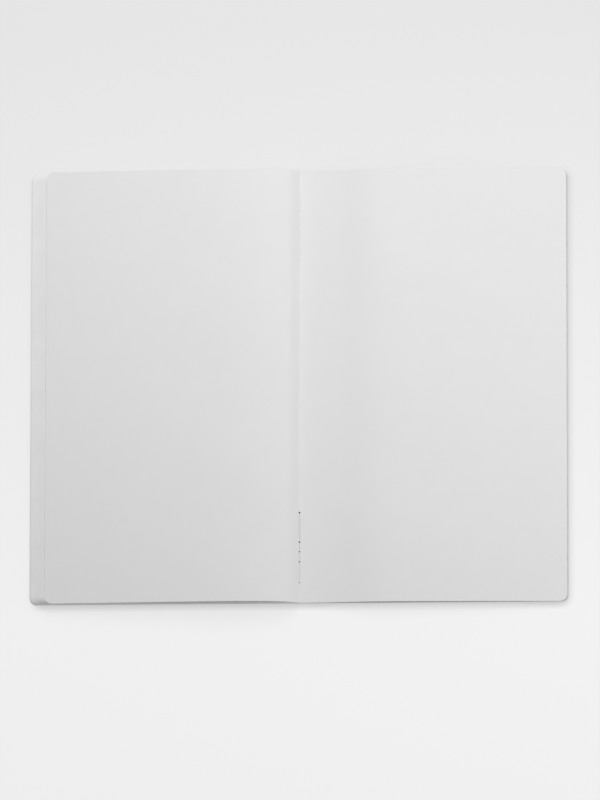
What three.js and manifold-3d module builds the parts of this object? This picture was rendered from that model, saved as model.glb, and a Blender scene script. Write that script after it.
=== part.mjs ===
// A section-sewn softcover notebook, lying open near its end, in millimetres.
// +X points from the gutter to the right page's fore-edge, +Y to the head and +Z up from the table.
// The origin is on the table, under the middle of the spine.

import * as THREE from "three";
import { mergeVertices } from "three/addons/utils/BufferGeometryUtils.js";
import Module from "manifold-3d";

const wasm = await Module();
wasm.setup();

// Driving dimensions

const pageHeight = 210; // head to tail, of covers and leaves alike: the notebook is trimmed flush
const coverWidth = 130; // middle of the spine to the cover's fore-edge
const coverThickness = 0.5;
const cornerRadius = 3.5; // of the two fore-edge corners
const foreEdgeInset = 0.7; // leaves end this far inside the covers
const endpaperThickness = 0.12;
const spineFoldHeight = 1.9; // the spine stands folded in the gutter while the notebook lies open
const liningThickness = 0.15;
const liningInset = 4; // the lining ends this far from head and tail
const sheetThickness = 0.09;
const sheetsPerSection = 6;
const sectionsLeft = 5; // whole sections under the left page
const sectionsRight = 1; // whole sections under the right page
const slipPerSection = 1.44; // fore-edge of each left section lies this far inside the one below
const gutterStep = 0.8; // and its flat part begins this much further from the spine

const sheetGap = 0.02; // air between the loose leaves of the open section
const pieceGap = 0.03; // glue line, or air between two sections
const creaseGap = 0.05; // half the slit between the two legs of the folded spine

const leftEdgeRise = 0.45; // of the left leaves over the top section's edge beside the spine
const leftShoulderRise = 3; // of the left leaves over the stack that they lie on
const leftShoulderDistance = 9; // from the middle of the spine
const leftCrestRise = 4.8;
const leftCrestDistance = 26;
const leftBackRise = 3.2; // on the long slope to the fore-edge
const leftBackDistance = 70;

const rightDipRise = 0.2; // of the right leaves over the stack that they lie on
const rightDipDistance = 8; // the right leaves lie flat up to here
const rightFlankRise = 2.3;
const rightFlankDistance = 20;
const rightCrestRise = 5.2;
const rightCrestDistance = 38;
const rightBackRise = 4.5;
const rightBackDistance = 65;
const rightSlopeRise = 2.6;
const rightSlopeDistance = 97;

const foldRoom = 0.2; // between a right leaf and the left leaf that climbs out of the same fold

const threadRadius = 0.2;
const threadSides = 8;
const needleHoles = [43.6, 29.3, 19.8, 9.7]; // of the open fold, from the head and from the tail
const stitchEndGap = 0.5; // between a stitch's end and the middle of its needle hole

const archSteps = 6; // straight facets between two points of an arch
const cornerSteps = 5;
const trimAllowance = 1; // a blank reaches this far past the outline that trims it

// Sizes that follow

const sectionThickness = 2 * sheetsPerSection * sheetThickness;
const leafPitch = sheetThickness + sheetGap;
const openLeavesThickness = sheetsPerSection * leafPitch - sheetGap;
const endpaperBottom = coverThickness + pieceGap;
const blockBottom = endpaperBottom + endpaperThickness + pieceGap;
const sectionPitch = sectionThickness + pieceGap;
const leftStackTop = blockBottom + sectionsLeft * sectionPitch;
const rightStackTop = blockBottom + sectionsRight * sectionPitch;
const leavesForeEdge = coverWidth - foreEdgeInset;
const highestCrest = Math.max(leftStackTop + leftCrestRise, rightStackTop + rightCrestRise);
const spineReach = creaseGap + coverThickness;
const coverInner = spineReach + pieceGap;
const blockInner = coverInner + liningThickness + pieceGap;
const topSectionInner = blockInner + (sectionsLeft - 1) * gutterStep;
const slipOfOpenLeaves = sectionsLeft * slipPerSection;
const foldTop = rightStackTop + rightDipRise + sheetsPerSection * leafPitch;

// Finishes

const paper = new THREE.MeshStandardMaterial({ color: 0xe9e8e6, roughness: 0.9, metalness: 0 });
const card = new THREE.MeshStandardMaterial({ color: 0xdedddb, roughness: 0.85, metalness: 0 });
const cloth = new THREE.MeshStandardMaterial({ color: 0xe4e2dc, roughness: 1, metalness: 0 });
const thread = new THREE.MeshStandardMaterial({ color: 0xd8d6d2, roughness: 0.8, metalness: 0 });

// Shapes

// The outline of a cover or leaf seen from above, from near the spine to the fore-edge.
// side is 1 for the right half of the open notebook and -1 for the left half.
function planOutline(side, inner, foreEdge) {
  const half = pageHeight / 2;
  const centre = foreEdge - cornerRadius;
  const points = [new THREE.Vector2(side * inner, -half)];
  for (const corner of [-1, 1]) {
    for (let step = 0; step <= cornerSteps; step++) {
      const turn = (corner < 0 ? step : cornerSteps - step) / cornerSteps;
      const angle = (1 - turn) * Math.PI / 2;
      const x = centre + cornerRadius * Math.cos(angle);
      const y = corner * (half - cornerRadius + cornerRadius * Math.sin(angle));
      points.push(new THREE.Vector2(side * x, y));
    }
  }
  points.push(new THREE.Vector2(side * inner, half));
  return new THREE.Shape(points);
}

// A flat piece with a plan outline, from one height to another.
function flatPiece(outline, bottom, top) {
  const geometry = new THREE.ExtrudeGeometry(outline, { depth: top - bottom, bevelEnabled: false });
  return geometry.translate(0, 0, bottom);
}

// A solid with one section, in X and Z, along the spine and centred on it.
function prismOf(points, length) {
  const geometry = new THREE.ExtrudeGeometry(new THREE.Shape(points), { depth: length, bevelEnabled: false });
  return geometry.rotateX(Math.PI / 2).translate(0, length / 2, 0);
}

function solidOf(geometry) {
  const bare = geometry.clone();
  bare.deleteAttribute("normal");
  bare.deleteAttribute("uv");
  const merged = mergeVertices(bare);
  const triVerts = new Uint32Array(merged.index.array);
  const vertProperties = new Float32Array(merged.attributes.position.array);
  return new wasm.Manifold(new wasm.Mesh({ numProp: 3, vertProperties, triVerts }));
}

function geometryOf(solid) {
  const mesh = solid.getMesh();
  const geometry = new THREE.BufferGeometry();
  geometry.setAttribute("position", new THREE.BufferAttribute(mesh.vertProperties, 3));
  geometry.setIndex(new THREE.BufferAttribute(mesh.triVerts, 1));
  geometry.computeVertexNormals();
  return geometry;
}

// A blank with one section, trimmed to an outline, as the guillotine and the corner cutter do it.
function trimmed(points, outline) {
  const blank = prismOf(points, pageHeight + 2 * trimAllowance);
  const cutter = flatPiece(outline, -trimAllowance, highestCrest + openLeavesThickness + trimAllowance);
  return geometryOf(solidOf(blank).intersect(solidOf(cutter)));
}

// The section of a strip folded over the middle of the spine: two legs that join at the top.
function foldedStrip(reach, thickness, bottom, top) {
  const slit = reach - thickness;
  const corners = [
    [-reach, bottom],
    [-slit, bottom],
    [-slit, top - thickness],
    [slit, top - thickness],
    [slit, bottom],
    [reach, bottom],
    [reach, top],
    [-reach, top],
  ];
  return corners.map(([x, z]) => new THREE.Vector2(x, z));
}

// The underside of the lowest left leaf: out of the fold, over the edge of the stack, over the crest
// and down to the fore-edge.
function leftArch() {
  const foreEdge = leavesForeEdge - slipOfOpenLeaves + trimAllowance;
  return [
    [blockInner, foldTop + foldRoom],
    [-topSectionInner, leftStackTop + leftEdgeRise],
    [-leftShoulderDistance, leftStackTop + leftShoulderRise],
    [-leftCrestDistance, leftStackTop + leftCrestRise],
    [-leftBackDistance, leftStackTop + leftBackRise],
    [-foreEdge, leftStackTop],
  ];
}

// The underside of the lowest right leaf: flat beside the spine, over the crest, down to the fore-edge.
function rightArch() {
  return [
    [creaseGap, rightStackTop + rightDipRise],
    [rightDipDistance, rightStackTop + rightDipRise],
    [rightFlankDistance, rightStackTop + rightFlankRise],
    [rightCrestDistance, rightStackTop + rightCrestRise],
    [rightBackDistance, rightStackTop + rightBackRise],
    [rightSlopeDistance, rightStackTop + rightSlopeRise],
    [leavesForeEdge + trimAllowance, rightStackTop],
  ];
}

// The section of one leaf of the open section: its arch, raised square to itself by the leaves below.
function leafSection(arch, leaf) {
  const knots = arch.map(([x, z]) => new THREE.Vector3(x, z, 0));
  const curve = new THREE.CatmullRomCurve3(knots, false, "centripetal");
  const line = curve.getPoints(archSteps * (knots.length - 1));
  const towardsHead = new THREE.Vector3(0, 0, 1);
  const bottom = [];
  const top = [];
  line.forEach((point, i) => {
    const before = line[Math.max(i - 1, 0)];
    const after = line[Math.min(i + 1, line.length - 1)];
    const along = after.clone().sub(before).normalize();
    const up = towardsHead.clone().cross(along);
    if (up.y < 0) up.negate();
    const raised = (height) => new THREE.Vector2(point.x + up.x * height, point.y + up.y * height);
    bottom.push(raised(leaf * leafPitch));
    top.push(raised(leaf * leafPitch + sheetThickness));
  });
  return [...bottom, ...top.reverse()];
}

const leftLeafArch = leftArch();
const rightLeafArch = rightArch();

// Assembly

const notebook = new THREE.Group();
const frontHalf = new THREE.Group();
const backHalf = new THREE.Group();
notebook.add(frontHalf, backHalf);

function addPiece(parent, name, geometry, finish) {
  const piece = new THREE.Mesh(geometry, finish);
  piece.name = name;
  parent.add(piece);
  return piece;
}

// Covers and endpapers
for (const [half, side, word] of [[frontHalf, -1, "front"], [backHalf, 1, "back"]]) {
  const coverOutline = planOutline(side, coverInner, coverWidth);
  addPiece(half, `${word}_cover`, flatPiece(coverOutline, 0, coverThickness), card);

  const endpaperOutline = planOutline(side, coverInner, leavesForeEdge);
  const endpaper = flatPiece(endpaperOutline, endpaperBottom, endpaperBottom + endpaperThickness);
  addPiece(half, `${word}_endpaper`, endpaper, paper);
}

// The spine of the cover and its cloth lining, both folded up in the gutter
const spineSection = foldedStrip(spineReach, coverThickness, 0, spineFoldHeight);
addPiece(backHalf, "spine", prismOf(spineSection, pageHeight), card);
const liningReach = coverInner + liningThickness;
const liningTop = spineFoldHeight + pieceGap + liningThickness;
const liningSection = foldedStrip(liningReach, liningThickness, blockBottom, liningTop);
addPiece(backHalf, "spine_lining", prismOf(liningSection, pageHeight - 2 * liningInset), cloth);

// Whole sections under the left page, each drawn in from the one below at both edges
for (let i = 0; i < sectionsLeft; i++) {
  const outline = planOutline(-1, blockInner + i * gutterStep, leavesForeEdge - i * slipPerSection);
  const bottom = blockBottom + i * sectionPitch;
  addPiece(frontHalf, `section_${i + 1}`, flatPiece(outline, bottom, bottom + sectionThickness), paper);
}

// Whole sections under the right page
const openSection = sectionsLeft + 1;
for (let i = 0; i < sectionsRight; i++) {
  const outline = planOutline(1, blockInner, leavesForeEdge);
  const bottom = blockBottom + i * sectionPitch;
  const number = openSection + sectionsRight - i;
  addPiece(backHalf, `section_${number}`, flatPiece(outline, bottom, bottom + sectionThickness), paper);
}

// The open section: sheet 1 is the outermost, and the last one is the centre sheet that shows
for (let sheet = 0; sheet < sheetsPerSection; sheet++) {
  const leftOutline = planOutline(-1, -rightDipDistance, leavesForeEdge - slipOfOpenLeaves);
  const left = trimmed(leafSection(leftLeafArch, sheet), leftOutline);
  addPiece(frontHalf, `section_${openSection}_left_leaf_${sheet + 1}`, left, paper);

  const rightOutline = planOutline(1, blockInner + sheet * leafPitch, leavesForeEdge);
  const right = trimmed(leafSection(rightLeafArch, sheet), rightOutline);
  addPiece(backHalf, `section_${openSection}_right_leaf_${sheet + 1}`, right, paper);
}

// Stitches of the sewing thread, lying in the open fold between two needle holes
const stitchAt = blockInner + sheetsPerSection * leafPitch + threadRadius;
const stitchHeight = foldTop + threadRadius;
for (const [end, word] of [[-1, "tail"], [1, "head"]]) {
  for (let i = 0; i + 1 < needleHoles.length; i++) {
    const length = needleHoles[i] - needleHoles[i + 1] - 2 * stitchEndGap;
    const shape = new THREE.CylinderGeometry(threadRadius, threadRadius, length, threadSides);
    const stitch = addPiece(backHalf, `${word}_stitch_${i + 1}`, shape, thread);
    const middle = (pageHeight - needleHoles[i] - needleHoles[i + 1]) / 2;
    stitch.position.set(stitchAt, end * middle, stitchHeight);
  }
}

export default notebook;
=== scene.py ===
"""Looks of the open section-sewn notebook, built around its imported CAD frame.

Sizes are written in millimetres in the frame's axes: +X from the gutter to the right page's
fore-edge, +Y from tail to head and +Z up from the table. They are turned into metres as each mesh
is made.
"""

from __future__ import annotations

import logging
import math
import random
from dataclasses import dataclass, field, replace
from enum import Enum

import bmesh
import bpy
from bpy.types import ID, Material, Node, NodeSocket, NodeTree, Object
from mathutils import Matrix, Vector


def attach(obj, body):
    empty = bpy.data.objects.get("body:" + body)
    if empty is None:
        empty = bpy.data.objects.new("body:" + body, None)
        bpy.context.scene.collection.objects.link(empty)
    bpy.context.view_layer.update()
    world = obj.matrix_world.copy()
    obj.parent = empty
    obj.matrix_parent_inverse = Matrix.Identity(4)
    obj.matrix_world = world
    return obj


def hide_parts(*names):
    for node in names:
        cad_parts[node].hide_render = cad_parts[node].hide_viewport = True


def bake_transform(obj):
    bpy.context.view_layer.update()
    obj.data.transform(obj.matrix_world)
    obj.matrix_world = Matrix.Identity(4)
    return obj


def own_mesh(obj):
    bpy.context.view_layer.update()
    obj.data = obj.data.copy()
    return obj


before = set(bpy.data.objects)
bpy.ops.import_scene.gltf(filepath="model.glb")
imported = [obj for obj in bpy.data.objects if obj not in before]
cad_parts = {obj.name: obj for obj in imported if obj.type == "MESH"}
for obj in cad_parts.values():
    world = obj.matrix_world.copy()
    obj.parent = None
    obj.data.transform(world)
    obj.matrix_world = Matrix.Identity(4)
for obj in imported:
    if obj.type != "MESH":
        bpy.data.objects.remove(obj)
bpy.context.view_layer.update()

LOG = logging.getLogger("notebook")
MM = 0.001

# The photograph's frame in pixels, and the width of the camera's film
PHOTO_SIZE = (600, 800)
SENSOR_MM = 36.0

# Sizes that several pieces share, the same as in the frame
HALF_PAGE = 105.0
CORNER_RADIUS = 3.5
COVER_THICKNESS = 0.5
SPINE_REACH = 2.0
LEAVES_FORE_EDGE = 129.3
SHEET = 0.09
SHEETS_PER_SECTION = 6
LEAF_PITCH = 0.11
SECTION_PITCH = 1.11
BLOCK_BOTTOM = 0.68
BLOCK_INNER = 0.76
SLIP_PER_SECTION = 1.44
LEFT_BODIES = ("front_half", "second_section", "third_section", "fourth_section", "fifth_section")
LEFT_STACK_TOP = BLOCK_BOTTOM + len(LEFT_BODIES) * SECTION_PITCH
RIGHT_STACK_TOP = BLOCK_BOTTOM + SECTION_PITCH
OPEN_SECTION = len(LEFT_BODIES) + 1
# Facets of an arch between two of its knots, and of a rounded corner
ARCH_STEPS = 14
CORNER_STEPS = 6
# Edges that bend more than this stay sharp
SHARP_DEGREES = 40.0
# Height over the stack up to which the fold holds the open leaves still
FOLD_GAP = 0.2
# Knots of the undersides of the open leaves, from the fold to past the fore-edge
LEFT_ARCH = (
    (-0.25, 2.6),
    (-4.2, LEFT_STACK_TOP + 0.7),
    (-9.6, LEFT_STACK_TOP + 2.8),
    (-26.0, LEFT_STACK_TOP + 4.8),
    (-70.0, LEFT_STACK_TOP + 3.2),
    (-123.1, LEFT_STACK_TOP),
)
RIGHT_ARCH = (
    (0.05, RIGHT_STACK_TOP + FOLD_GAP),
    (8.0, RIGHT_STACK_TOP + 0.75),
    (20.0, RIGHT_STACK_TOP + 2.25),
    (38.0, RIGHT_STACK_TOP + 5.2),
    (65.0, RIGHT_STACK_TOP + 4.5),
    (97.0, RIGHT_STACK_TOP + 2.6),
    (130.3, RIGHT_STACK_TOP),
)
WHITE = (1.0, 1.0, 1.0, 1.0)

Point = tuple[float, float]
Point3 = tuple[float, float, float]


class Half(Enum):
    """The two halves of the open notebook, with the sign of their X."""

    LEFT = -1
    RIGHT = 1


class End(Enum):
    """The two ends of the fold, with the sign of their Y."""

    TAIL = -1
    HEAD = 1


def linear(hex_colour: str) -> tuple[float, float, float, float]:
    """Turn an sRGB hex colour into scene-linear RGBA.

    Args:
        hex_colour: six hex digits, such as "e2e2e2".

    Returns:
        The linear red, green, blue and an alpha of 1.
    """
    channels = [int(hex_colour[i : i + 2], 16) / 255 for i in (0, 2, 4)]
    bent = [c / 12.92 if c <= 0.04045 else ((c + 0.055) / 1.055) ** 2.4 for c in channels]
    return (*bent, 1.0)


def add_node(tree: NodeTree, kind: str, settings: dict, links: dict) -> Node:
    """Add one node, set it up and link its inputs.

    Args:
        tree: the node tree that gets the node.
        kind: the node's type name.
        settings: attributes by name, and input values by socket name or index.
        links: output sockets by the name or index of the input that they feed.

    Returns:
        The new node.
    """
    node = tree.nodes.new(kind)
    for key, value in settings.items():
        if isinstance(key, int) or key in node.inputs:
            node.inputs[key].default_value = value
        else:
            setattr(node, key, value)
    for key, socket in links.items():
        tree.links.new(socket, node.inputs[key])
    return node


def seen_directly(tree: NodeTree) -> NodeSocket:
    """Tell a camera, mirror or glass ray from one that only lights a matt surface.

    Args:
        tree: the node tree that asks.

    Returns:
        A socket that is 1 for the rays that show a surface, and 0 for the others.
    """
    ray = add_node(tree, "ShaderNodeLightPath", {}, {})
    seen = ray.outputs["Is Camera Ray"]
    for kind in ("Is Glossy Ray", "Is Transmission Ray"):
        either = add_node(
            tree, "ShaderNodeMath", {"operation": "MAXIMUM"}, {0: seen, 1: ray.outputs[kind]}
        )
        seen = either.outputs[0]
    return seen


def mix_colours(tree: NodeTree, colours: tuple[str, str], share: NodeSocket) -> NodeSocket:
    """Run from one colour to another.

    Args:
        tree: the node tree that gets the node.
        colours: sRGB hex of both.
        share: a socket that says how much there is of the second.

    Returns:
        The socket of the mixed colour.
    """
    first, second = (linear(colour) for colour in colours)
    mix = add_node(tree, "ShaderNodeMix", {"data_type": "RGBA", 6: first, 7: second}, {0: share})
    return mix.outputs[2]


@dataclass(frozen=True)
class Finish:
    """What all the surfaces have: two close colours and a roughness.

    Attributes:
        name: the material's name.
        light: sRGB hex of the lighter places.
        dark: sRGB hex of the darker places.
        roughness: of the surface.
    """

    name: str
    light: str
    dark: str
    roughness: float

    def build(self) -> Material:
        """Make the node material.

        Returns:
            The material.
        """
        material = bpy.data.materials.new(self.name)
        material.use_nodes = True
        surface = material.node_tree.nodes["Principled BSDF"]
        surface.inputs["Roughness"].default_value = self.roughness
        place = add_node(material.node_tree, "ShaderNodeTexCoord", {}, {})
        self.dress(surface, place.outputs["Object"])
        return material

    def dress(self, surface: Node, place: NodeSocket) -> None:
        """Give the surface node its look, by the place on the piece."""
        raise NotImplementedError


@dataclass(frozen=True)
class FibreFinish(Finish):
    """Uncoated paper, card or spun thread: a matt surface of pressed or twisted fibres.

    Attributes:
        cloud_mm: size of the uneven clouds where the pulp lies thicker or thinner.
        fibre_mm: size of the fibres that show in raking light.
        relief_mm: height of the fibres.
        specular: specular level, low because there is no coating.
    """

    cloud_mm: float
    fibre_mm: float
    relief_mm: float
    specular: float = 0.3

    def dress(self, surface: Node, place: NodeSocket) -> None:
        """Give the surface its clouds and its fibres.

        Args:
            surface: the node of the surface.
            place: a socket with the place on the piece.
        """
        tree = surface.id_data
        clouds = add_node(
            tree,
            "ShaderNodeTexNoise",
            {"Scale": 1 / (self.cloud_mm * MM), "Detail": 3.0, "Roughness": 0.55},
            {"Vector": place},
        )
        fibres = add_node(
            tree,
            "ShaderNodeTexNoise",
            {"Scale": 1 / (self.fibre_mm * MM), "Detail": 4.0, "Roughness": 0.6, "Distortion": 1.2},
            {"Vector": place},
        )
        relief = add_node(
            tree,
            "ShaderNodeBump",
            {"Strength": 1.0, "Distance": self.relief_mm * MM},
            {"Height": fibres.outputs["Fac"]},
        )
        colour = mix_colours(tree, (self.dark, self.light), clouds.outputs["Fac"])
        tree.links.new(colour, surface.inputs["Base Color"])
        tree.links.new(relief.outputs["Normal"], surface.inputs["Normal"])
        surface.inputs["Specular IOR Level"].default_value = self.specular


@dataclass(frozen=True)
class ClothFinish(Finish):
    """Plain-woven cotton: two crossing sets of threads, darker in between.

    Attributes:
        thread_mm: from one thread to the next.
        relief_mm: height of a thread over the gaps.
    """

    thread_mm: float
    relief_mm: float

    def dress(self, surface: Node, place: NodeSocket) -> None:
        """Give the surface its weave.

        Args:
            surface: the node of the surface.
            place: a socket with the place on the piece.
        """
        tree = surface.id_data
        # A wave texture of scale 1 repeats every 2 pi / 20 metres
        scale = 2 * math.pi / 20 / (self.thread_mm * MM)
        waves = [
            add_node(
                tree,
                "ShaderNodeTexWave",
                {"bands_direction": way, "Scale": scale, "Distortion": 0.6},
                {"Vector": place},
            ).outputs["Fac"]
            for way in ("X", "Y")
        ]
        weave = add_node(
            tree, "ShaderNodeMath", {"operation": "MAXIMUM"}, {0: waves[0], 1: waves[1]}
        )
        relief = add_node(
            tree,
            "ShaderNodeBump",
            {"Strength": 0.8, "Distance": self.relief_mm * MM},
            {"Height": weave.outputs[0]},
        )
        colour = mix_colours(tree, (self.dark, self.light), weave.outputs[0])
        tree.links.new(colour, surface.inputs["Base Color"])
        tree.links.new(relief.outputs["Normal"], surface.inputs["Normal"])


@dataclass(frozen=True)
class LaminateFinish(Finish):
    """The table top's matt laminate: plain and pale, painted lighter towards the tail as painted
    light.

    Attributes:
        light_end: Y in mm where the painted gradient of light is lightest.
        dark_end: Y in mm where it is darkest.
        plain_share: share of the plain colour in what the eye sees, which keeps shadows light.
        contact_mm: reach of the painted contact shade right beside what stands on it.
        contact_dark: how dark that shade is, 0 to 1.
        shade_side: the side of the sky, as a unit vector, that things hide from a shaded place.
    """

    light_end: float
    dark_end: float
    plain_share: float
    contact_mm: float
    contact_dark: float
    shade_side: Point3

    def dress(self, surface: Node, place: NodeSocket) -> None:
        """Give the surface its colour, with its painted gradient of light, and its painted contact
        shade.

        Args:
            surface: the node of the surface.
            place: a socket with the place on the piece.
        """
        tree = surface.id_data
        split = add_node(tree, "ShaderNodeSeparateXYZ", {}, {"Vector": place})
        share = add_node(
            tree,
            "ShaderNodeMapRange",
            {1: self.light_end * MM, 2: self.dark_end * MM},
            {"Value": split.outputs["Y"]},
        )
        # Painted gradient of light: lighter towards the tail, darker towards the head
        colour = mix_colours(tree, (self.light, self.dark), share.outputs[0])
        tree.links.new(colour, surface.inputs["Base Color"])
        # Painted contact shade: ambient occlusion darkens the plain colour beside the notebook,
        # most on its tail and right
        side = add_node(tree, "ShaderNodeCombineXYZ", dict(zip("XYZ", self.shade_side)), {})
        contact = add_node(
            tree,
            "ShaderNodeAmbientOcclusion",
            {"samples": 16, "Distance": self.contact_mm * MM},
            {"Normal": side.outputs[0]},
        )
        lit = add_node(
            tree,
            "ShaderNodeMapRange",
            {1: 0.0, 2: 1.0, 3: 1.0 - self.contact_dark, 4: 1.0},
            {"Value": contact.outputs["AO"]},
        )
        plain = add_node(
            tree, "ShaderNodeEmission", {}, {"Color": colour, "Strength": lit.outputs[0]}
        )
        part = add_node(
            tree,
            "ShaderNodeMath",
            {"operation": "MULTIPLY", 1: self.plain_share},
            {0: seen_directly(tree)},
        )
        both = add_node(
            tree,
            "ShaderNodeMixShader",
            {},
            {0: part.outputs[0], 1: surface.outputs[0], 2: plain.outputs[0]},
        )
        tree.links.new(both.outputs[0], tree.nodes["Material Output"].inputs["Surface"])


# Uncoated off-white writing paper, 80 g/m2, calendered: even and matt, with a faint cloudiness of
# the pulp. Real fibres are finer than the render shows, so they are drawn 0.35 mm wide
PAPER = FibreFinish(
    "writing_paper", "e2e2e2", "dfdfdf", 0.9, cloud_mm=9.0, fibre_mm=0.35, relief_mm=0.006
)
# Whole sections get the same paper painted lighter: painted light on their guillotined edges
PAPER_PAINTED_LIGHTER = replace(PAPER, name="guillotined_writing_paper", light="f0f0f0", dark="e8e8e8")
# Uncoated bristol card of the cover, pressed from coarser pulp: greyer and rougher than the pages
CARD = FibreFinish(
    "bristol_card", "dcdcdb", "d3d3d2", 0.8, cloud_mm=5.0, fibre_mm=0.5, relief_mm=0.015
)
# Cotton mull, an open plain weave that soaks up the spine's glue: dull, with threads that stand out
MULL = ClothFinish("cotton_mull", "e6e4de", "c9c6be", 0.95, thread_mm=0.4, relief_mm=0.05)
# Waxed linen thread, two-ply: pale, a little glossier than the paper
THREAD = FibreFinish(
    "waxed_linen_thread", "e0e0de", "cdcdcb", 0.6,
    cloud_mm=0.8, fibre_mm=0.12, relief_mm=0.02, specular=0.4,
)
# Painted shade of the needle holes, deep in each hole where little light arrives: nearly black
HOLE_SHADE = FibreFinish(
    "needle_hole_painted_shade", "3a3a39", "2b2b2a", 1.0,
    cloud_mm=0.5, fibre_mm=0.2, relief_mm=0.01, specular=0.0,
)
# Melamine laminate of the table top, moulded with a matt skin: pale grey, with a painted gradient
# of light
LAMINATE = LaminateFinish(
    "matt_melamine_laminate",
    "f4f4f4",
    "e5e5e5",
    0.95,
    light_end=-110.0,
    dark_end=180.0,
    plain_share=0.8,
    contact_mm=3.8,
    contact_dark=0.45,
    shade_side=(-0.35, 0.6, 0.7),
)


def spread(start: float, end: float, count: int) -> list[float]:
    """Give evenly spaced numbers, both ends included."""
    return [start + (end - start) * i / (count - 1) for i in range(count)]


def round_angles(count: int) -> list[float]:
    """Divide a full turn evenly, in radians."""
    return [2 * math.pi * k / count for k in range(count)]


def half_height(x: float, fore_edge: float, half: float) -> float:
    """Give a leaf's reach to head and tail at one distance from the spine.

    Args:
        x: distance from the middle of the spine, in mm.
        fore_edge: the leaf's own fore-edge, in mm.
        half: half of the leaf's height, in mm.

    Returns:
        The reach in mm, less inside the rounded corner.
    """
    into = min(max(x - (fore_edge - CORNER_RADIUS), 0.0), CORNER_RADIUS)
    return half - CORNER_RADIUS + math.sqrt(CORNER_RADIUS**2 - into**2)


def corner_stations(fore_edge: float) -> list[float]:
    """List the distances from the spine at which a rounded corner gets its points.

    Args:
        fore_edge: the leaf's fore-edge, in mm.

    Returns:
        Distances in mm, the last of them on the fore-edge.
    """
    start = fore_edge - CORNER_RADIUS
    angles = spread(0.0, math.pi / 2, CORNER_STEPS + 1)
    return [start + CORNER_RADIUS * math.sin(a) for a in angles]


def arch_curve(knots: tuple[Point, ...]) -> list[Point]:
    """Draw a centripetal Catmull-Rom curve through knots, as the frame's arches are drawn.

    Args:
        knots: X and Z in mm.

    Returns:
        Points along the curve, both ends included.
    """
    pts = [Vector((x, z)) for x, z in knots]
    pts = [2 * pts[0] - pts[1], *pts, 2 * pts[-1] - pts[-2]]
    line: list[Point] = []
    for i in range(1, len(pts) - 2):
        p0, p1, p2, p3 = pts[i - 1 : i + 3]
        d0, d1, d2 = ((b - a).length ** 0.5 for a, b in ((p0, p1), (p1, p2), (p2, p3)))
        t1 = ((p1 - p0) / d0 - (p2 - p0) / (d0 + d1) + (p2 - p1) / d1) * d1
        t2 = ((p2 - p1) / d1 - (p3 - p1) / (d1 + d2) + (p3 - p2) / d2) * d1
        last = i == len(pts) - 3
        for k in range(ARCH_STEPS + 1 if last else ARCH_STEPS):
            u = k / ARCH_STEPS
            a = 2 * u**3 - 3 * u**2 + 1
            b = u**3 - 2 * u**2 + u
            point = a * p1 + b * t1 + (1 - a) * p2 + (u**3 - u**2) * t2
            line.append((point.x, point.y))
    return line


def raised(line: list[Point], height: float) -> list[Point]:
    """Shift a curve square to itself, upwards.

    Args:
        line: X and Z in mm.
        height: the shift in mm.

    Returns:
        The shifted points.
    """
    out: list[Point] = []
    for i, (x, z) in enumerate(line):
        before, after = line[max(i - 1, 0)], line[min(i + 1, len(line) - 1)]
        along = Vector((after[0] - before[0], after[1] - before[1])).normalized()
        up = Vector((-along.y, along.x))
        if up.y < 0:
            up.negate()
        out.append((x + up.x * height, z + up.y * height))
    return out


def height_at(line: list[Point], x: float) -> float:
    """Read a curve's height at one X, on its last stretch that holds it.

    Args:
        line: X and Z in mm.
        x: where to read it.

    Returns:
        The height in mm, or minus infinity beside the curve.
    """
    for a, b in reversed(list(zip(line, line[1:]))):
        low, high = sorted((a[0], b[0]))
        if low <= x <= high and high > low:
            return a[1] + (x - a[0]) / (b[0] - a[0]) * (b[1] - a[1])
    return -math.inf


@dataclass(frozen=True)
class Sway:
    """How loose leaves stray from a plain arch, in shares of their rise over the stack.

    Attributes:
        head_lift: how much more they rise at the head, and less at the tail.
        sag: how much more they rise at both ends than half way.
        sag_mm: length of that wave along the page.
        ripple: height of the small waves.
        ripple_mm: length of the small waves along the page.
        lean_mm: distance across the page in which a small wave moves on by its own length.
    """

    head_lift: float
    sag: float = 0.07
    sag_mm: float = 190.0
    ripple: float = 0.035
    ripple_mm: float = 67.0
    lean_mm: float = 150.0

    def share(self, x: float, y: float) -> float:
        """Give the extra rise at one place of the page, as a share of the plain rise there."""
        long_wave = -self.sag * math.cos(2 * math.pi * y / self.sag_mm)
        small_wave = self.ripple * math.sin(2 * math.pi * (y / self.ripple_mm + x / self.lean_mm))
        return self.head_lift * y / HALF_PAGE + long_wave + small_wave


def place_object(name: str, data: ID) -> Object:
    """Make an object and link it to the scene.

    Args:
        name: its name.
        data: its mesh, camera or light.

    Returns:
        The object.
    """
    made = bpy.data.objects.new(name, data)
    bpy.context.scene.collection.objects.link(made)
    return made


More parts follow.
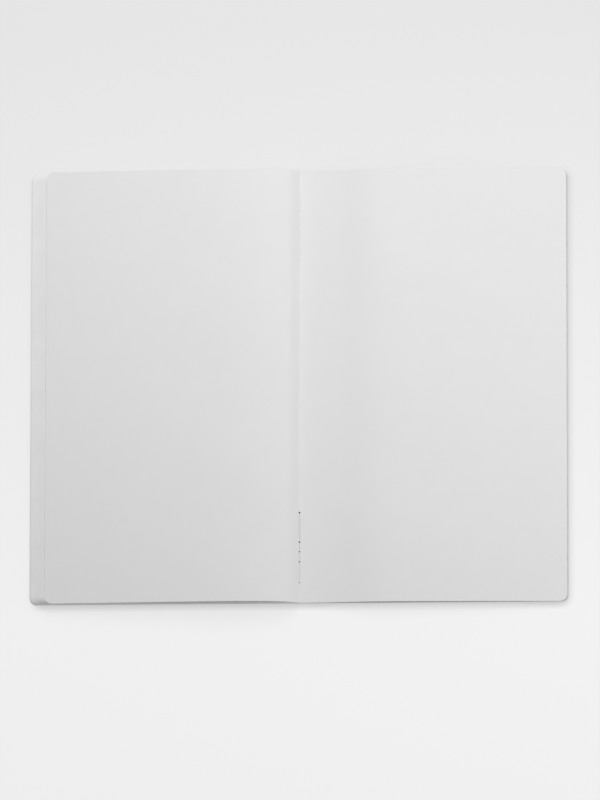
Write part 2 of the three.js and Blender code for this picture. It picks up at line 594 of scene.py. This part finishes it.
@dataclass
class PieceMesh:
    """Collects the closed solids of one piece before they become its mesh.

    Attributes:
        vertices: corners in mm.
        faces: corners of each face by their place in the list of vertices.
    """

    vertices: list[Point3] = field(default_factory=list)
    faces: list[tuple[int, ...]] = field(default_factory=list)

    def add_leaf(
        self,
        under: list[Point],
        over: list[Point],
        reaches: list[float],
        rises: list[float] | None = None,
        rows: int = 2,
        sway: Sway | None = None,
    ) -> None:
        """Add one leaf of paper, card or cloth: a thin solid lofted along X.

        Args:
            under: X and Z of the underside at each station, in mm.
            over: X and Z of the upper side at the same stations.
            reaches: how far the leaf reaches to head and tail at each station.
            rises: rise over the stack at each station, which the leaf's sway follows.
            rows: points from tail to head.
            sway: how the leaf strays from a plain arch, if it does.
        """
        first = len(self.vertices)
        for i, reach in enumerate(reaches):
            for x, z in (under[i], over[i]):
                for share in spread(-1.0, 1.0, rows):
                    y = reach * share
                    lift = rises[i] * sway.share(x, y) if rises and sway else 0.0
                    self.vertices.append((x, y, z + lift))
        corners = [
            [[first + (2 * i + side) * rows + j for j in range(rows)] for side in (0, 1)]
            for i in range(len(reaches))
        ]
        for a, b in zip(corners, corners[1:]):
            for j in range(rows - 1):
                self.faces += [(a[s][j], b[s][j], b[s][j + 1], a[s][j + 1]) for s in (0, 1)]
            self.faces += [(a[0][j], b[0][j], b[1][j], a[1][j]) for j in (0, rows - 1)]
        for a in (corners[0], corners[-1]):
            self.faces += [(a[0][j], a[0][j + 1], a[1][j + 1], a[1][j]) for j in range(rows - 1)]

    def add_level_leaf(
        self, xs: list[float], bottom: float, top: float, reaches: list[float]
    ) -> None:
        """Add one leaf that lies level.

        Args:
            xs: X of each station, in mm.
            bottom: height of its underside.
            top: height of its upper side.
            reaches: how far the leaf reaches to head and tail at each station.
        """
        self.add_leaf([(x, bottom) for x in xs], [(x, top) for x in xs], reaches)

    def add_rings(self, rings: list[list[Point3]], closed: bool) -> None:
        """Join rings of points, one after the other, with a cap at each end.

        Args:
            rings: the rings, each with as many points, in mm.
            closed: whether the last ring also joins the first, in place of the two caps.
        """
        first, count = len(self.vertices), len(rings[0])
        for ring in rings:
            self.vertices += ring
        pairs = [(i, (i + 1) % len(rings)) for i in range(len(rings) if closed else len(rings) - 1)]
        for i, j in pairs:
            for k in range(count):
                a, b = first + i * count, first + j * count
                n = (k + 1) % count
                self.faces.append((a + k, a + n, b + n, b + k))
        if not closed:
            last = first + (len(rings) - 1) * count
            self.faces.append(tuple(first + k for k in range(count)))
            self.faces.append(tuple(last + k for k in range(count)))

    def build(self, name: str, material: Material) -> Object:
        """Make the mesh object, with its faces turned outwards.

        Args:
            name: the piece's name.
            material: its material.

        Returns:
            The object, linked to the scene.
        """
        mesh = bpy.data.meshes.new(name)
        mesh.from_pydata([tuple(c * MM for c in v) for v in self.vertices], [], self.faces)
        shape = bmesh.new()
        shape.from_mesh(mesh)
        bmesh.ops.recalc_face_normals(shape, faces=shape.faces)
        shape.to_mesh(mesh)
        shape.free()
        mesh.materials.append(material)
        piece = place_object(name, mesh)
        mesh.shade_smooth()
        mesh.set_sharp_from_angle(angle=math.radians(SHARP_DEGREES))
        LOG.info("built %s", name)
        return piece


@dataclass
class Cover:
    """One panel of the card cover, flat on its half.

    Attributes:
        half: the half that it covers.
        body: the body that it rides on.
        fore_edge: its fore-edge, in mm.
        steps: facets from the spine's strip to the rounded corner.
    """

    half: Half
    body: str
    fore_edge: float = 130.0
    steps: int = 7

    def build(self, material: Material) -> None:
        """Make the panel.

        Args:
            material: the card.
        """
        word = "front" if self.half is Half.LEFT else "back"
        side = self.half.value
        stations = spread(SPINE_REACH, self.fore_edge - CORNER_RADIUS, self.steps + 1)[:-1]
        stations += corner_stations(self.fore_edge)
        reaches = [half_height(x, self.fore_edge, HALF_PAGE) for x in stations]
        mesh = PieceMesh()
        mesh.add_level_leaf([side * x for x in stations], 0.0, COVER_THICKNESS, reaches)
        piece = mesh.build(f"{word}_cover_card", material)
        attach(piece, self.body)
        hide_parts(f"{word}_cover")


@dataclass
class SpineStrip:
    """A strip of card or cloth in the gutter, laid flat.

    Attributes:
        name: the piece's name.
        node: the frame's node that it replaces.
        slot: the material slot; not used.
        reach: half of its width, in mm.
        bottom: height of its underside.
        thickness: of the card or cloth.
        half_length: half of its length from tail to head.
        steps: facets across it.
    """

    name: str
    node: str
    slot: str
    reach: float
    bottom: float
    thickness: float
    half_length: float
    steps: int = 32

    def build(self, material: Material) -> None:
        """Make the strip.

        Args:
            material: the card or cloth.
        """
        xs = spread(self.reach, -self.reach, self.steps + 1)
        top = self.bottom + self.thickness
        mesh = PieceMesh()
        mesh.add_level_leaf(xs, self.bottom, top, [self.half_length] * len(xs))
        piece = mesh.build(self.name, material)
        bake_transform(piece)
        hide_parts(self.node)


@dataclass
class Section:
    """One whole section: folded sheets, seen as a stack of thin leaves.

    Attributes:
        number: its number, 1 for the one beside the front cover.
        half: the half that it lies on.
        body: the body that it rides on, if that is the front or back half.
        level: how many sections lie under it.
        fore_edge: fore-edge of its lowest leaf, in mm.
        slant: how far its highest leaf stays behind that.
        unevenness: how far single leaves stray, as hand-opened paper does.
        leaf_gap: hairline between two leaves.
        slope_gap: room under the slope of the open leaves.
        slip_start: where a slipping section would start to move by itself, in mm from the spine;
            not used.
        slip_end: distance from the spine that the finer facets run to, before slip_rest.
        slip_rest: how far its finer facets run on past that.
        steps: facets on each side of the place where the finer ones end.
    """

    number: int
    half: Half
    body: str
    level: int
    fore_edge: float
    slant: float
    unevenness: float = 0.05
    leaf_gap: float = 0.007
    slope_gap: float = 0.35
    slip_start: float = 5.0
    slip_end: float = 16.0
    slip_rest: float = 2.0
    steps: int = 6

    def build(self, material: Material) -> None:
        """Make the stack of leaves.

        Args:
            material: the paper.
        """
        rng = random.Random(self.number)
        side = self.half.value
        mesh = PieceMesh()
        leaves = 2 * SHEETS_PER_SECTION
        count = self.steps + 1
        for leaf in range(leaves):
            fanned = self.fore_edge - self.slant * (leaf + 0.5) / leaves
            fore_edge = fanned - rng.uniform(0, self.unevenness)
            bottom = BLOCK_BOTTOM + self.level * SECTION_PITCH + leaf * SHEET
            top = bottom + SHEET - self.leaf_gap
            stations = spread(self.inner_end(top), self.slip_end + self.slip_rest, count)
            stations += spread(stations[-1], fore_edge - CORNER_RADIUS, count)[1:-1]
            stations += corner_stations(fore_edge)
            half = HALF_PAGE - rng.uniform(0, self.unevenness)
            reaches = [half_height(x, fore_edge, half) for x in stations]
            mesh.add_level_leaf([side * x for x in stations], bottom, top, reaches)
        piece = mesh.build(f"section_{self.number}_leaves", material)
        if self.body in ("front_half", "back_half"):
            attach(piece, self.body)
        else:
            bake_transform(piece)
        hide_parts(f"section_{self.number}")

    def inner_end(self, top: float) -> float:
        """Give where a leaf begins beside the spine.

        Args:
            top: height of its upper side, in mm.

        Returns:
            Its distance from the middle of the spine: the flat of the block low down, and the
            slope of the open leaves higher up on the left.
        """
        if self.half is Half.RIGHT:
            return BLOCK_INNER
        clear = next(-x for x, z in arch_curve(LEFT_ARCH) if z >= top + self.slope_gap)
        return max(BLOCK_INNER, clear)


@dataclass
class FoldBacks:
    """The backs of the folded sections in the gutter, laid flat in layers.

    Attributes:
        reach: half of their width, in mm.
        bottom: height of the lowest fold.
        right_top: height up to which folds lie on both sides of the gutter.
        left_top: height up to which they lie on its left, under the slope of the open leaves.
        slope_gap: room under that slope, measured along X.
        inset: how far they stay behind the leaves at head and tail.
        leaf_gap: hairline between two folds.
        steps: facets across them.
    """

    reach: float = 0.74
    bottom: float = 0.7
    right_top: float = 1.75
    left_top: float = 2.9
    slope_gap: float = 0.12
    inset: float = 0.1
    leaf_gap: float = 0.007
    steps: int = 24

    def build(self, material: Material) -> None:
        """Make the strips.

        Args:
            material: the paper.
        """
        mesh = PieceMesh()
        for i in range(int((self.left_top - self.bottom) / SHEET)):
            low = self.bottom + i * SHEET
            high = low + SHEET - self.leaf_gap
            xs = spread(self.right_end(high), -self.reach, self.steps + 1)
            mesh.add_level_leaf(xs, low, high, [HALF_PAGE - self.inset] * len(xs))
        piece = mesh.build("section_fold_backs", material)
        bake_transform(piece)

    def right_end(self, top: float) -> float:
        """Give the X at which a fold ends on the right.

        Args:
            top: height of its upper side, in mm.

        Returns:
            The full reach low down, and a place under the open leaves' slope higher up.
        """
        if top <= self.right_top:
            return self.reach
        (fold_x, fold_z), (edge_x, edge_z) = LEFT_ARCH[:2]
        return fold_x + (top - fold_z) * (edge_x - fold_x) / (edge_z - fold_z) - self.slope_gap


@dataclass
class OpenLeaves:
    """The open section's leaves on one half, arched over the stack that they lie on.

    Attributes:
        half: the half that they lie on.
        body: the body that they ride on.
        knots: X and Z of the lowest leaf's underside, from the fold to past the fore-edge, in mm.
        fore_edge: their fore-edge.
        inner: where they begin, as X in mm times the half's sign.
        floor: height over which the leaves rise, and towards which they flatten.
        sway: how they stray from a plain arch.
        tucked: how far the left leaves run on under the right ones, beyond the first knot.
        bed: how far over the floor they would flatten, so that the fold stays out of the stack; not
            used.
        flattened: share of the height that would be left once the notebook is closed; not used.
        rows: points from tail to head.
        corner_gap: least distance from the last point of the arch to the rounded corner.
    """

    half: Half
    body: str
    knots: tuple[Point, ...]
    fore_edge: float
    inner: float
    floor: float
    sway: Sway
    tucked: float = 0.0
    bed: float = 0.0
    flattened: float = 0.01
    rows: int = 25
    corner_gap: float = 0.5

    def build(self, material: Material) -> None:
        """Make the leaves, the lowest first.

        Args:
            material: the paper.
        """
        line = arch_curve(self.knots)
        if self.tucked:
            (xa, za), (xb, zb) = line[1], line[0]
            line.insert(0, (xb + self.tucked, zb + (zb - za) / (xb - xa) * self.tucked))
        word = self.half.name.lower()
        for leaf in range(SHEETS_PER_SECTION):
            mesh = PieceMesh()
            mesh.add_leaf(*self.outline(line, leaf * LEAF_PITCH), rows=self.rows, sway=self.sway)
            piece = mesh.build(f"{word}_leaf_{leaf + 1}_sheet", material)
            turns = self.half is Half.RIGHT and leaf == SHEETS_PER_SECTION - 1
            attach(piece, "right_page" if turns else self.body)
            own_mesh(piece)
            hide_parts(f"section_6_{word}_leaf_{leaf + 1}")

    def outline(
        self, line: list[Point], level: float
    ) -> tuple[list[Point], list[Point], list[float], list[float]]:
        """Give one leaf's course from the fold to the fore-edge.

        Args:
            line: X and Z of the lowest leaf's underside, in mm.
            level: height of this leaf over it, square to the line.

        Returns:
            The underside, the upper side, the reaches to head and tail, and the rises over the
            stack.
        """
        side = self.half.value
        marks = corner_stations(self.fore_edge)
        under, over = raised(line, level), raised(line, level + SHEET)
        last = marks[0] - self.corner_gap
        kept = [i for i, (x, _) in enumerate(under) if self.inner <= side * x < last]
        lows = [under[i] for i in kept] + [(side * m, height_at(under, side * m)) for m in marks]
        highs = [over[i] for i in kept] + [(side * m, height_at(over, side * m)) for m in marks]
        base = [line[i][1] for i in kept] + [height_at(line, side * m) for m in marks]
        reaches = [HALF_PAGE] * len(kept)
        reaches += [half_height(m, self.fore_edge, HALF_PAGE) for m in marks]
        return lows, highs, reaches, [max(z - self.floor - FOLD_GAP, 0.0) for z in base]


@dataclass
class Crease:
    """The bottom of the fold between the two visible pages: steep on the left, gentle on the right.

    Attributes:
        x: of the line of needle holes, in mm.
        foot: X at which the two pages meet.
        z: height at which their upper sides meet.
        left_slope: rise of the left page for each mm to the left.
        right_slope: rise of the right page for each mm to the right.
    """

    x: float = 0.6
    foot: float = 0.54
    z: float = 2.66
    left_slope: float = 1.13
    right_slope: float = 0.07

    def on(self, x: float, lift: float) -> float:
        """Give the height a little over the paper at one X in mm."""
        rise = max(self.left_slope * (self.foot - x), self.right_slope * (x - self.foot))
        return self.z + rise + lift


@dataclass
class Stitch:
    """One stitch of two-ply thread along the open fold, dipping into the needle hole at each end.

    Attributes:
        end: the end of the fold that it lies at.
        number: 1 for the one nearest to the middle.
        holes: distances from the middle of the fold at which the thread dips, in mm.
        side: X of the thread's middle.
        height: Z of the thread's middle.
        ply_radius: radius of each of the two plies.
        twist_mm: length of one full twist.
        dip: depth to which it dips.
        dip_mm: distance from the hole within which it dips.
        from_hole: where it starts and stops, as a distance from its outer holes.
        facet_mm: length of a facet along it.
        around: points round a ply.
    """

    end: End
    number: int
    holes: tuple[float, ...]
    side: float = 0.85
    height: float = 2.8
    ply_radius: float = 0.11
    twist_mm: float = 1.1
    dip: float = 0.35
    dip_mm: float = 0.6
    from_hole: float = 0.4
    facet_mm: float = 0.25
    around: int = 6

    def build(self, material: Material) -> None:
        """Make the stitch.

        Args:
            material: the thread.
        """
        near, far = self.holes[0] + self.from_hole, self.holes[-1] - self.from_hole
        steps = int((far - near) / self.facet_mm)
        mesh = PieceMesh()
        for ply in range(2):
            middles = [self.middle(away, math.pi * ply) for away in spread(near, far, steps + 1)]
            mesh.add_rings([self.ring(middle) for middle in middles], closed=False)
        word = f"{self.end.name.lower()}_stitch_{self.number}"
        piece = mesh.build(f"{word}_thread", material)
        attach(piece, "back_half")
        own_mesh(piece)
        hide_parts(word)

    def middle(self, away: float, phase: float) -> Point3:
        """Give the middle of one ply.

        Args:
            away: distance from the middle of the fold, in mm.
            phase: of the ply in the twist, in radians.

        Returns:
            Its place in mm.
        """
        y = self.end.value * away
        sag = sum(self.dip * math.exp(-abs(away - hole) / self.dip_mm) for hole in self.holes)
        turn = 2 * math.pi * y / self.twist_mm + phase
        return (
            self.side + self.ply_radius * math.cos(turn),
            y,
            self.height - sag + self.ply_radius * math.sin(turn),
        )

    def ring(self, middle: Point3) -> list[Point3]:
        """Give the round section of a ply about one middle."""
        x, y, z = middle
        return [
            (x + self.ply_radius * math.cos(a), y, z + self.ply_radius * math.sin(a))
            for a in round_angles(self.around)
        ]


@dataclass
class NeedleHoles:
    """The pierced holes in the fold: painted-shade discs, with rims of fibres that the needle
    pushed up.

    Attributes:
        holes: the end of the fold, the distance from its middle and the radius of each, in mm.
        crease: the paper that they pierce.
        lift: how far the painted-shade discs lie over the paper, so that they show.
        thickness: of the painted-shade discs.
        rings: radius of each ring of a painted-shade disc's face, as a share of the hole's.
        rim: radius of the rim's section.
        corners: points round a hole.
        rim_corners: points round the rim's section.
    """

    holes: tuple[tuple[End, float, float], ...]
    crease: Crease = field(default_factory=Crease)
    lift: float = 0.03
    thickness: float = 0.02
    rings: tuple[float, ...] = (0.05, 0.5, 1.0)
    rim: float = 0.05
    corners: int = 16
    rim_corners: int = 6

    def build(self, dark: Material, paper: Material) -> None:
        """Make the painted-shade discs and the rims.

        Args:
            dark: the painted shade of the holes' insides.
            paper: the rims.
        """
        mouths, rims = PieceMesh(), PieceMesh()
        under = self.lift - self.thickness
        for end, away, radius in self.holes:
            y = end.value * away
            face = [self.circle(y, radius * share, self.lift) for share in self.rings]
            back = [self.circle(y, radius * share, under) for share in (1.0, self.rings[0])]
            mouths.add_rings(face + back, closed=False)
            rim = [
                self.circle(y, radius + self.rim * math.cos(a), self.rim * math.sin(a))
                for a in round_angles(self.rim_corners)
            ]
            rims.add_rings(rim, closed=True)
        # Dark discs of painted shade stand for the shadow inside each hole
        for piece in (mouths.build("needle_holes", dark), rims.build("needle_hole_rims", paper)):
            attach(piece, "back_half")
            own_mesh(piece)

    def circle(self, y: float, radius: float, lift: float) -> list[Point3]:
        """Draw a circle on the folded paper.

        Args:
            y: of its middle, in mm.
            radius: as seen from above.
            lift: height over the paper.

        Returns:
            Its points.
        """
        angles = round_angles(self.corners)
        xs = [self.crease.x + radius * math.cos(a) for a in angles]
        return [(x, y + radius * math.sin(a), self.crease.on(x, lift)) for x, a in zip(xs, angles)]


@dataclass
class Camera:
    """The camera that took the photograph: a long lens, nearly from above.

    Attributes:
        distance: from the target, in mm.
        elevation: over the table, in degrees.
        azimuth: from the tail towards the right, in degrees.
        roll: about its own axis, in degrees.
        pixels_per_mm: scale of the photograph at the target.
        target: the point in the middle of the frame, in mm.
        sight: the nearest and the farthest that it sees, in metres.
    """

    distance: float = 4000.0
    elevation: float = 81.0
    azimuth: float = 30.0
    roll: float = -30.22
    pixels_per_mm: float = 2.076
    target: Point3 = (0.85, -6.9, 4.0)
    sight: tuple[float, float] = (0.05, 20.0)

    def build(self) -> None:
        """Place the camera and make it the scene's own."""
        e, a, r = (math.radians(v) for v in (self.elevation, self.azimuth, self.roll))
        back = Vector((math.sin(a) * math.cos(e), -math.cos(a) * math.cos(e), math.sin(e)))
        up = Vector((-math.sin(a) * math.sin(e), math.cos(a) * math.sin(e), math.cos(e)))
        right = up.cross(back)
        right, up = right * math.cos(r) + up * math.sin(r), up * math.cos(r) - right * math.sin(r)
        data = bpy.data.cameras.new("camera")
        data.sensor_width = SENSOR_MM
        data.lens = self.pixels_per_mm * self.distance / max(PHOTO_SIZE) * SENSOR_MM
        data.clip_start, data.clip_end = self.sight
        camera = place_object("camera", data)
        place = (Vector(self.target) + back * self.distance) * MM
        turn = Matrix((right, up, back)).transposed().to_4x4()
        camera.matrix_world = Matrix.Translation(place) @ turn
        bpy.context.scene.camera = camera


@dataclass
class SoftLight:
    """One square soft box that looks at the notebook.

    Attributes:
        name: its name.
        place: where it stands, in metres.
        size: side of its square, in metres.
        watts: its power.
    """

    name: str
    place: Point3
    size: float
    watts: float

    def build(self) -> None:
        """Hang the light and turn it to the notebook."""
        data = bpy.data.lights.new(self.name, "AREA")
        data.size = self.size
        data.energy = self.watts
        light = place_object(self.name, data)
        light.location = self.place
        light.rotation_euler = (-Vector(self.place)).to_track_quat("-Z", "Y").to_euler()


@dataclass
class Studio:
    """The pale table top and the even light of a white room.

    Attributes:
        lights: the soft boxes.
        room_light: strength of the even light.
        backdrop: sRGB hex of what the eye sees past the table.
        half_table: half of the table's side, in metres.
    """

    lights: tuple[SoftLight, ...]
    room_light: float = 0.45
    backdrop: str = "ededed"
    half_table: float = 6.0

    def build(self) -> None:
        """Build the table top, the lights and the room."""
        self.build_table()
        for light in self.lights:
            light.build()
        self.build_room()
        bpy.context.scene.view_settings.view_transform = "Standard"

    def build_table(self) -> None:
        """Lay the plain pale table top."""
        mesh = bpy.data.meshes.new("table_top")
        ways = ((-1, -1), (1, -1), (1, 1), (-1, 1))
        corners = [(x * self.half_table, y * self.half_table, 0) for x, y in ways]
        mesh.from_pydata(corners, [], [(0, 1, 2, 3)])
        mesh.materials.append(LAMINATE.build())
        top = place_object("table_top", mesh)

    def build_room(self) -> None:
        """Light the scene evenly, and show a plain pale backdrop to the eye."""
        world = bpy.data.worlds.new("studio")
        world.use_nodes = True
        tree = world.node_tree
        tree.nodes.clear()
        light = add_node(
            tree, "ShaderNodeBackground", {"Color": WHITE, "Strength": self.room_light}, {}
        )
        backdrop = add_node(
            tree, "ShaderNodeBackground", {"Color": linear(self.backdrop), "Strength": 1.0}, {}
        )
        mix = add_node(
            tree,
            "ShaderNodeMixShader",
            {},
            {0: seen_directly(tree), 1: light.outputs[0], 2: backdrop.outputs[0]},
        )
        add_node(tree, "ShaderNodeOutputWorld", {}, {"Surface": mix.outputs[0]})
        bpy.context.scene.world = world


@dataclass
class Notebook:
    """The whole notebook, open near its end.

    Attributes:
        needle_holes: where stitches begin and end, in mm from the middle of the fold.
        extra_hole: one more hole at the tail, in the middle stitch.
        mouths: radius of each hole's painted-shade disc at the tail, from the fold's middle
            outwards.
        head_mouth: radius of each hole's painted-shade disc at the head, where the thread fills
            them.
        first_fore_edge: fore-edge of the lowest leaf on the left, in mm.
        hollow: how far each left section stays behind an even fan.
        slant: how far the leaves of a left section fan back from its lowest to its highest.
        stitch_heights: height of each tail stitch's middle, from the middle of the fold outwards.
        head_stitch_height: height of the head stitches, which are drawn deeper into the fold.
        materials: the material of each finish, once it is made.
    """

    needle_holes: tuple[float, ...] = (61.4, 75.7, 85.2, 95.3)
    extra_hole: float = 80.3
    mouths: tuple[float, ...] = (0.45, 0.42, 0.36, 0.38, 0.28)
    head_mouth: float = 0.15
    first_fore_edge: float = 129.85
    hollow: tuple[float, ...] = (0.0, 0.2, 0.3, 0.2, 0.0)
    slant: float = 1.2
    stitch_heights: tuple[float, ...] = (2.8, 2.76, 2.7)
    head_stitch_height: float = 2.62
    materials: dict[Finish, Material] = field(default_factory=dict)

    def build(self) -> None:
        """Build every piece in order."""
        for finish in (PAPER, PAPER_PAINTED_LIGHTER, CARD, MULL, THREAD, HOLE_SHADE):
            self.materials[finish] = finish.build()
        self.wrap_cover()
        self.stack_sections()
        self.open_section()
        self.sew()
        self.finish_endpapers()

    def wrap_cover(self) -> None:
        """Build the cover's two panels, its spine and the lining."""
        card = self.materials[CARD]
        Cover(Half.LEFT, "front_half").build(card)
        Cover(Half.RIGHT, "back_half").build(card)
        names = ("spine_card", "spine", "cover_card")
        SpineStrip(*names, SPINE_REACH, 0.0, COVER_THICKNESS, HALF_PAGE).build(card)
        names = ("spine_lining_cloth", "spine_lining", "lining_cloth")
        lining = SpineStrip(*names, reach=1.6, bottom=0.52, thickness=0.15, half_length=101.0)
        lining.build(self.materials[MULL])

    def stack_sections(self) -> None:
        """Stack the whole sections on both halves, with the backs of their folds."""
        # The whole sections get the paper painted lighter, as painted light on their fanned edges
        paper = self.materials[PAPER_PAINTED_LIGHTER]
        for i, body in enumerate(LEFT_BODIES):
            fore_edge = self.first_fore_edge - i * SLIP_PER_SECTION - self.hollow[i]
            Section(i + 1, Half.LEFT, body, i, fore_edge, self.slant).build(paper)
        last = Section(OPEN_SECTION + 1, Half.RIGHT, "back_half", 0, LEAVES_FORE_EDGE, slant=0.0)
        last.build(paper)
        FoldBacks().build(self.materials[PAPER])

    def open_section(self) -> None:
        """Lay the open section's leaves over both stacks."""
        left = OpenLeaves(
            half=Half.LEFT,
            body="open_left_leaves",
            knots=LEFT_ARCH,
            fore_edge=LEAVES_FORE_EDGE - len(LEFT_BODIES) * SLIP_PER_SECTION,
            inner=-8.0,
            floor=LEFT_STACK_TOP,
            sway=Sway(head_lift=-0.05),
            tucked=0.5,
            bed=0.04,
        )
        right = OpenLeaves(
            half=Half.RIGHT,
            body="back_half",
            knots=RIGHT_ARCH,
            fore_edge=LEAVES_FORE_EDGE,
            inner=-0.1,
            floor=RIGHT_STACK_TOP,
            sway=Sway(head_lift=0.2),
        )
        for leaves in (left, right):
            leaves.build(self.materials[PAPER])

    def sew(self) -> None:
        """Sew both ends of the open fold."""
        for end in End:
            extra = [self.extra_hole] if end is End.TAIL else []
            for i, (near, far) in enumerate(zip(self.needle_holes, self.needle_holes[1:])):
                holes = (near, *(hole for hole in extra if near < hole < far), far)
                height = self.stitch_heights[i] if end is End.TAIL else self.head_stitch_height
                Stitch(end, i + 1, holes, height=height).build(self.materials[THREAD])
        tail_holes = sorted((*self.needle_holes, self.extra_hole))
        tail = [(End.TAIL, away, radius) for away, radius in zip(tail_holes, self.mouths)]
        head = [(End.HEAD, away, self.head_mouth) for away in self.needle_holes]
        # The needle holes' dark discs are painted shade
        NeedleHoles((*tail, *head)).build(self.materials[HOLE_SHADE], self.materials[PAPER])

    def finish_endpapers(self) -> None:
        """Give the two endpapers, whose shapes in the frame are right, their paper."""
        for name in ("front_endpaper", "back_endpaper"):
            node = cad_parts[name]
            node.data.materials.clear()
            node.data.materials.append(self.materials[PAPER])
            LOG.info("dressed %s", name)


# One broad soft box over the head, and a weak one low on the right that lightens the fold
LIGHTS = (
    SoftLight("key_light", (0.0, 0.335, 0.555), 0.35, 2.24),
    SoftLight("fill_light", (0.39, -0.04, 0.25), 0.3, 0.4),
)


def main() -> None:
    """Build the camera, the studio and the notebook."""
    logging.basicConfig(level=logging.INFO, format="%(name)s: %(message)s")
    Camera().build()
    Studio(LIGHTS).build()
    Notebook().build()


if __name__ == "__main__":
    main()
